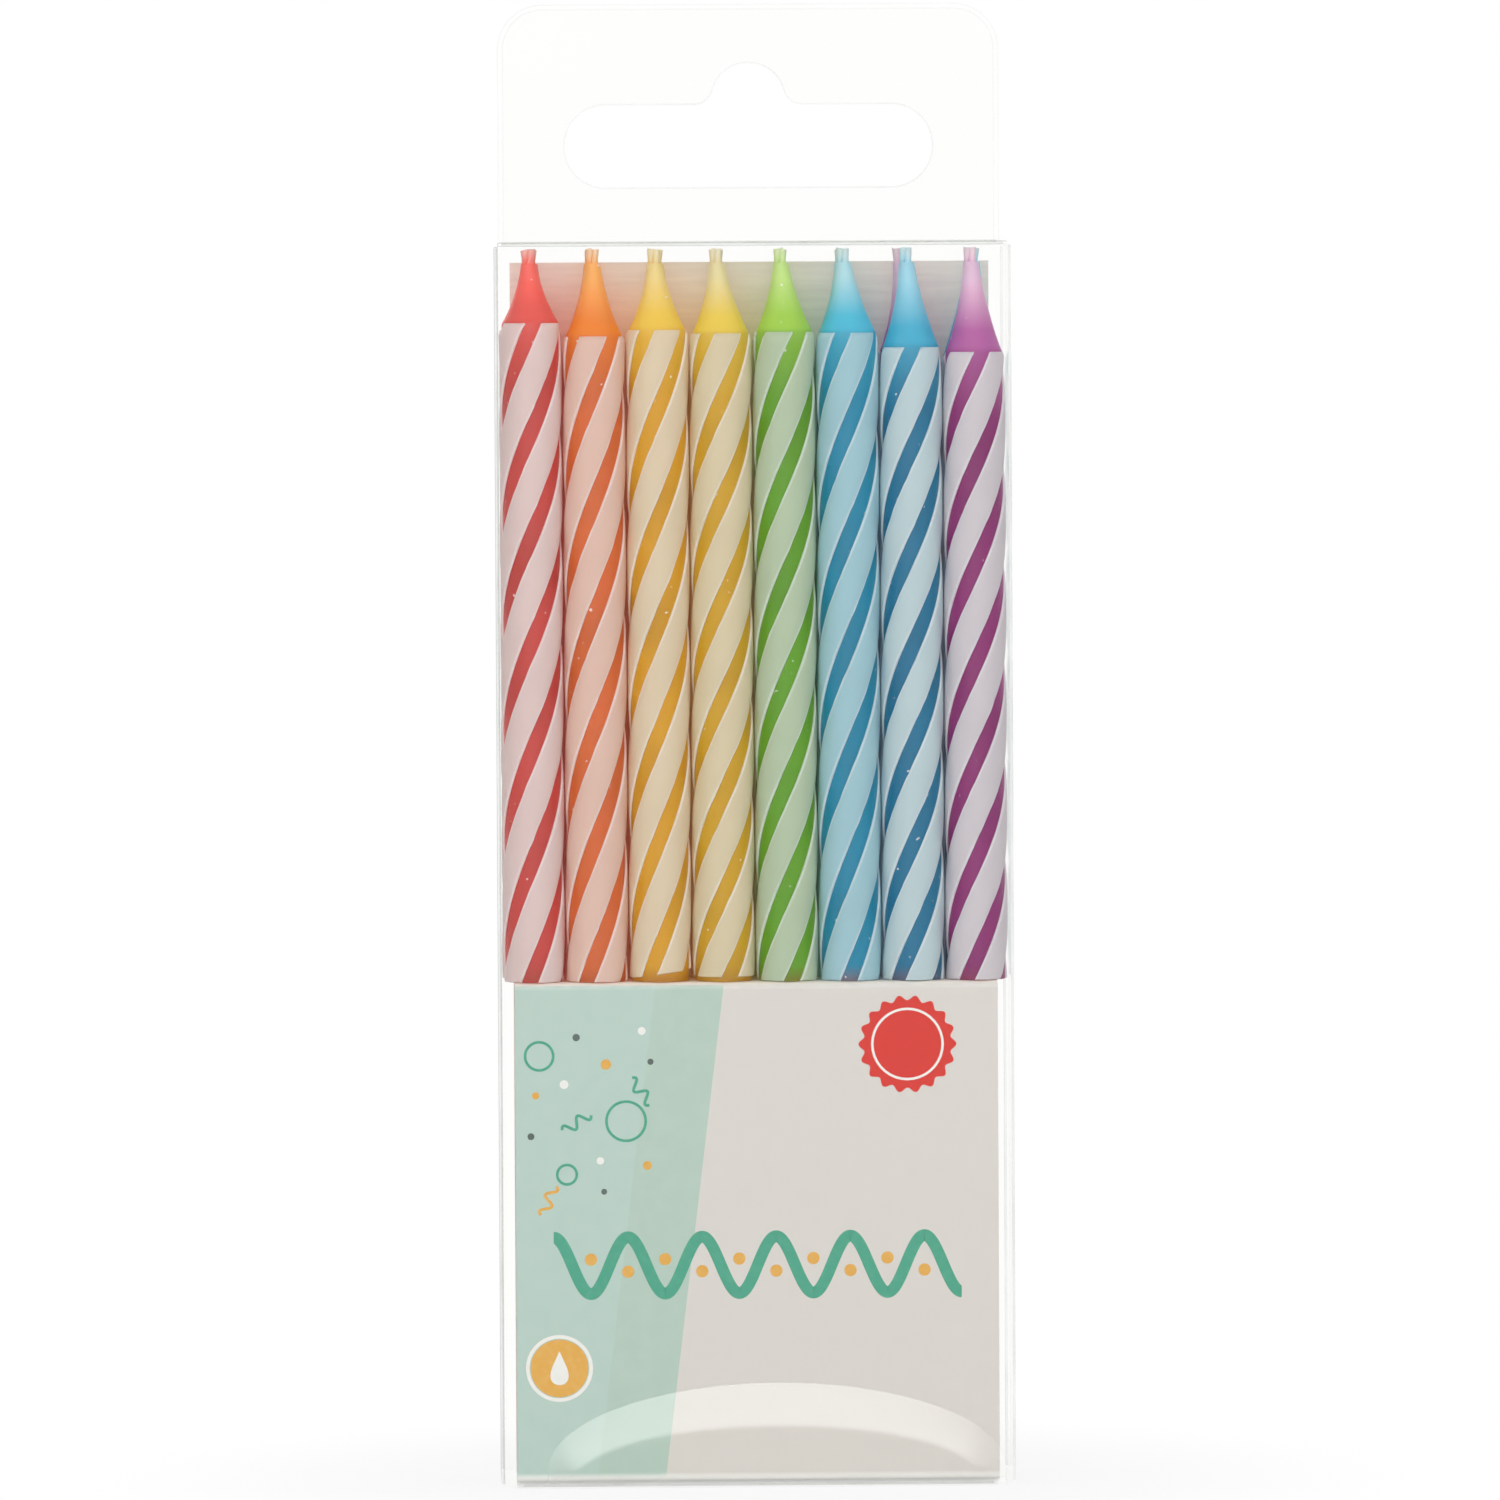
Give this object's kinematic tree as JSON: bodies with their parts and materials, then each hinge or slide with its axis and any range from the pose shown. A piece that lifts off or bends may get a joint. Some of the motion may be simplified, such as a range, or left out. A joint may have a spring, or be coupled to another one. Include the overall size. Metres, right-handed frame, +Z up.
{
  "type": "hanging box of spiral birthday candles",
  "caption": "Clear folded-film hanging box with tuck ends, holding two rows of spiral-striped birthday candles on a printed card insert.",
  "frame": {"origin": "middle of the box's foot, on the surface that it stands on", "axes": "+Z up towards the hang tab, -Y out of the front, +X to the right of the front"},
  "size_m": [0.0416, 0.013, 0.1201],
  "materials": {
    "clear_film": "clear, glossy",
    "printed_card": "coated, printed",
    "white_wax": "satin",
    "wick": "waxed cotton",
    "red_wax": "satin",
    "orange_wax": "satin",
    "yellow_wax": "satin",
    "lemon_wax": "satin",
    "green_wax": "satin",
    "sky_wax": "satin",
    "blue_wax": "satin",
    "purple_wax": "satin"
  },
  "bodies": {
    "box": {"clear_sleeve": "clear_film", "hang_tab_front_ply": "clear_film", "card_insert": "printed_card", "front_red_core": "red_wax", "front_red_bands": "white_wax", "front_red_wick": "wick", "front_orange_core": "orange_wax", "front_orange_bands": "white_wax", "front_orange_wick": "wick", "front_yellow_core": "yellow_wax", "front_yellow_bands": "white_wax", "front_yellow_wick": "wick", "front_lemon_core": "lemon_wax", "front_lemon_bands": "white_wax", "front_lemon_wick": "wick", "front_green_core": "green_wax", "front_green_bands": "white_wax", "front_green_wick": "wick", "front_sky_core": "sky_wax", "front_sky_bands": "white_wax", "front_sky_wick": "wick", "front_blue_core": "blue_wax", "front_blue_bands": "white_wax", "front_blue_wick": "wick", "front_purple_core": "purple_wax", "front_purple_bands": "white_wax", "front_purple_wick": "wick", "rear_red_core": "red_wax", "rear_red_bands": "white_wax", "rear_red_wick": "wick", "rear_orange_core": "orange_wax", "rear_orange_bands": "white_wax", "rear_orange_wick": "wick", "rear_yellow_core": "yellow_wax", "rear_yellow_bands": "white_wax", "rear_yellow_wick": "wick", "rear_lemon_core": "lemon_wax", "rear_lemon_bands": "white_wax", "rear_lemon_wick": "wick", "rear_green_core": "green_wax", "rear_green_bands": "white_wax", "rear_green_wick": "wick", "rear_sky_core": "sky_wax", "rear_sky_bands": "white_wax", "rear_sky_wick": "wick", "rear_purple_core": "purple_wax", "rear_purple_bands": "white_wax", "rear_purple_wick": "wick", "rear_blue_core": "blue_wax", "rear_blue_bands": "white_wax", "rear_blue_wick": "wick"},
    "lid": {"lid": "clear_film"},
    "lid_tongue": {"lid_tongue": "clear_film"},
    "bottom_flap": {"bottom_flap": "clear_film"},
    "bottom_tongue": {"bottom_tongue": "clear_film"}
  },
  "joints": [
    {"name": "lid_crease", "type": "hinge", "parent": "box", "child": "lid", "pos_m": [0, 0.00596, 0.10067], "axis": [-1, 0, 0], "range_deg": [0, 85]},
    {"name": "lid_tongue_crease", "type": "hinge", "parent": "lid", "child": "lid_tongue", "pos_m": [0, -0.00509, 0.10032], "axis": [-1, 0, 0], "range_deg": [-42.5, 0]},
    {"name": "bottom_crease", "type": "hinge", "parent": "box", "child": "bottom_flap", "pos_m": [0, 0.00624, 0.00025], "axis": [1, 0, 0], "range_deg": [0, 90]},
    {"name": "bottom_tongue_crease", "type": "hinge", "parent": "bottom_flap", "child": "bottom_tongue", "pos_m": [0, -0.00509, 0.0003], "axis": [1, 0, 0], "range_deg": [-45, 0]}
  ],
  "couplings": [
    {"joint": "lid_tongue_crease", "follows": "lid_crease", "ratio": -0.5},
    {"joint": "bottom_tongue_crease", "follows": "bottom_crease", "ratio": -0.5}
  ]
}
